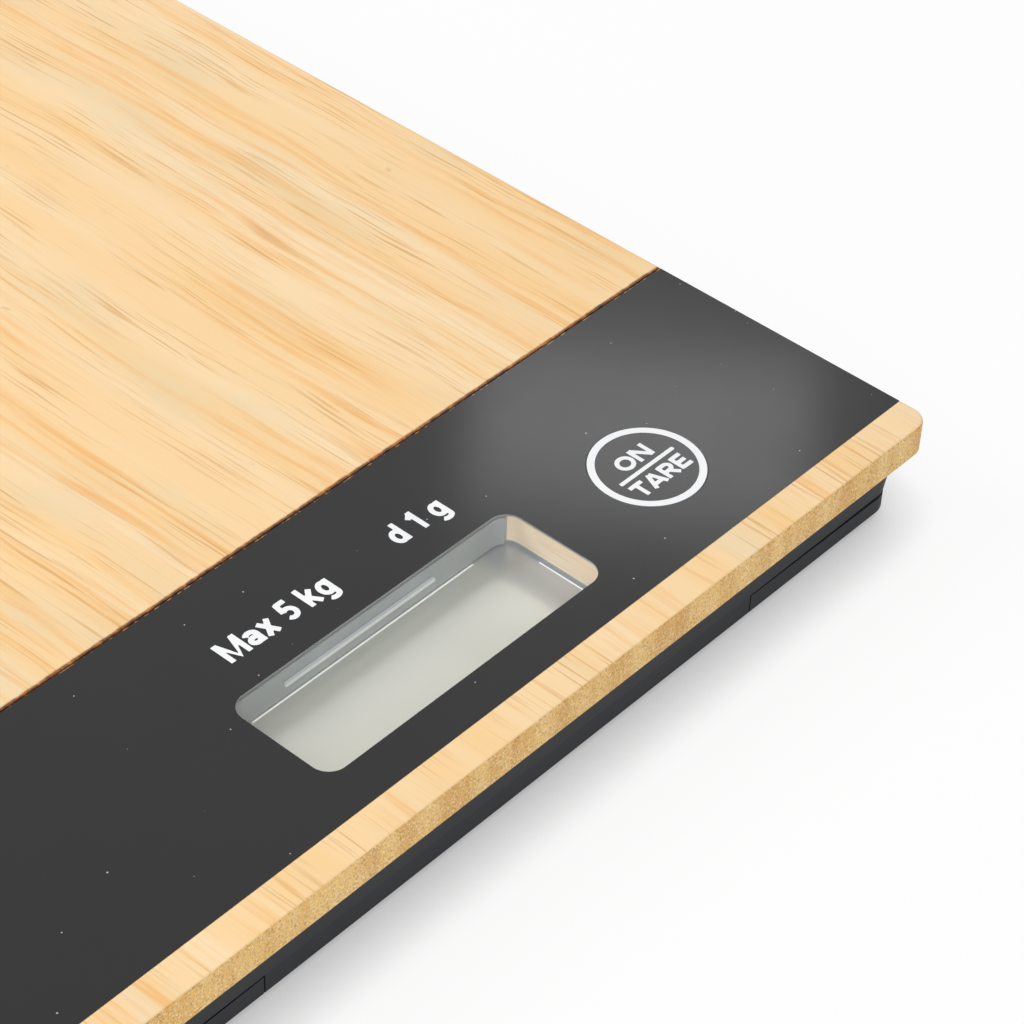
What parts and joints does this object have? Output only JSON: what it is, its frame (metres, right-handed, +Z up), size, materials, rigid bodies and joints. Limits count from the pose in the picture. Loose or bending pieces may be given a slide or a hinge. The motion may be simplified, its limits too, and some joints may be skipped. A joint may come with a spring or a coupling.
{
  "type": "kitchen scale",
  "caption": "Flat digital kitchen scale: bamboo platform with an inset black control strip, display window and round key, on a low black case whose corner feet bear on load cells.",
  "frame": {"origin": "on the table under the middle of the board's outline, at the level of the pads' lower faces", "axes": "+Z up out of the weighing surface, +Y from the control strip to the rear edge, +X to the right as the control strip is read"},
  "size_m": [0.16, 0.23, 0.0161],
  "materials": {
    "bamboo": "laminated bamboo, oiled, fine grain from front to rear",
    "film_black": "satin black printed film",
    "window_clear": "clear unprinted film",
    "adhesive": "thin double-sided adhesive film",
    "case_plastic": "black moulded plastic, satin",
    "display_glass": "blank reflective liquid crystal glass",
    "frame_plastic": "grey moulded plastic",
    "strip_rubber": "layered conductive rubber",
    "circuit_laminate": "green lacquered glass-fibre laminate",
    "chip_resin": "black resin drop",
    "small_parts": "ceramic chip parts",
    "screw_steel": "zinc-plated steel",
    "cell_steel": "nickel-plated spring steel",
    "gauge_seal": "white silicone over the strain gauge",
    "lead_sheath": "soft lead sheath",
    "pad_rubber": "non-slip rubber",
    "coin_steel": "stainless coin cell can",
    "contact_metal": "nickel-plated spring bronze",
    "switch_plastic": "black switch body",
    "plunger_plastic": "white moulded plastic"
  },
  "bodies": {
    "platform": {"bamboo_board": "bamboo", "panel_film": "film_black", "panel_adhesive": "adhesive", "display_window": "window_clear", "tact_switch": "switch_plastic", "display_panel": "display_glass", "display_frame": "frame_plastic", "contact_strips": "strip_rubber", "circuit_board": "circuit_laminate", "chip_cover": "chip_resin", "surface_parts": "small_parts", "circuit_screws": "screw_steel", "case": "case_plastic", "case_screws": "screw_steel", "coin_cell": "coin_steel", "contact_positive": "contact_metal", "contact_negative": "contact_metal", "battery_leads": "lead_sheath", "cell_screws": "screw_steel", "load_cell_front_left": "cell_steel", "strain_gauge_front_left": "gauge_seal", "cell_lead_front_left": "lead_sheath", "load_cell_front_right": "cell_steel", "strain_gauge_front_right": "gauge_seal", "cell_lead_front_right": "lead_sheath", "load_cell_rear_left": "cell_steel", "strain_gauge_rear_left": "gauge_seal", "cell_lead_rear_left": "lead_sheath", "load_cell_rear_right": "cell_steel", "strain_gauge_rear_right": "gauge_seal", "cell_lead_rear_right": "lead_sheath"},
    "key": {"on_tare_key": "film_black", "key_plunger": "plunger_plastic", "switch_stem": "switch_plastic"},
    "battery_door": {"battery_door": "case_plastic"},
    "foot_front_left": {"foot_front_left": "case_plastic", "foot_pad_front_left": "pad_rubber", "foot_screws_front_left": "screw_steel"},
    "foot_front_right": {"foot_front_right": "case_plastic", "foot_pad_front_right": "pad_rubber", "foot_screws_front_right": "screw_steel"},
    "foot_rear_left": {"foot_rear_left": "case_plastic", "foot_pad_rear_left": "pad_rubber", "foot_screws_rear_left": "screw_steel"},
    "foot_rear_right": {"foot_rear_right": "case_plastic", "foot_pad_rear_right": "pad_rubber", "foot_screws_rear_right": "screw_steel"}
  },
  "joints": [
    {"name": "key_press", "type": "slide", "parent": "platform", "child": "key", "axis": [0, 0, -1], "range_m": [0, 0.00025], "stiffness_N_per_m": 3500, "springref_m": -0.0002},
    {"name": "door_turn", "type": "hinge", "parent": "platform", "child": "battery_door", "pos_m": [0, 0.02, 0.0016], "axis": [0, 0, 1], "range_deg": [0, 45]},
    {"name": "foot_front_left_travel", "type": "slide", "parent": "platform", "child": "foot_front_left", "axis": [0, 0, 1], "range_m": [0, 0.0002], "stiffness_N_per_m": 50000, "springref_m": -0.00002, "deforming": ["load_cell_front_left"]},
    {"name": "foot_front_right_travel", "type": "slide", "parent": "platform", "child": "foot_front_right", "axis": [0, 0, 1], "range_m": [0, 0.0002], "stiffness_N_per_m": 50000, "springref_m": -0.00002, "deforming": ["load_cell_front_right"]},
    {"name": "foot_rear_left_travel", "type": "slide", "parent": "platform", "child": "foot_rear_left", "axis": [0, 0, 1], "range_m": [0, 0.0002], "stiffness_N_per_m": 50000, "springref_m": -0.00002, "deforming": ["load_cell_rear_left"]},
    {"name": "foot_rear_right_travel", "type": "slide", "parent": "platform", "child": "foot_rear_right", "axis": [0, 0, 1], "range_m": [0, 0.0002], "stiffness_N_per_m": 50000, "springref_m": -0.00002, "deforming": ["load_cell_rear_right"]}
  ]
}
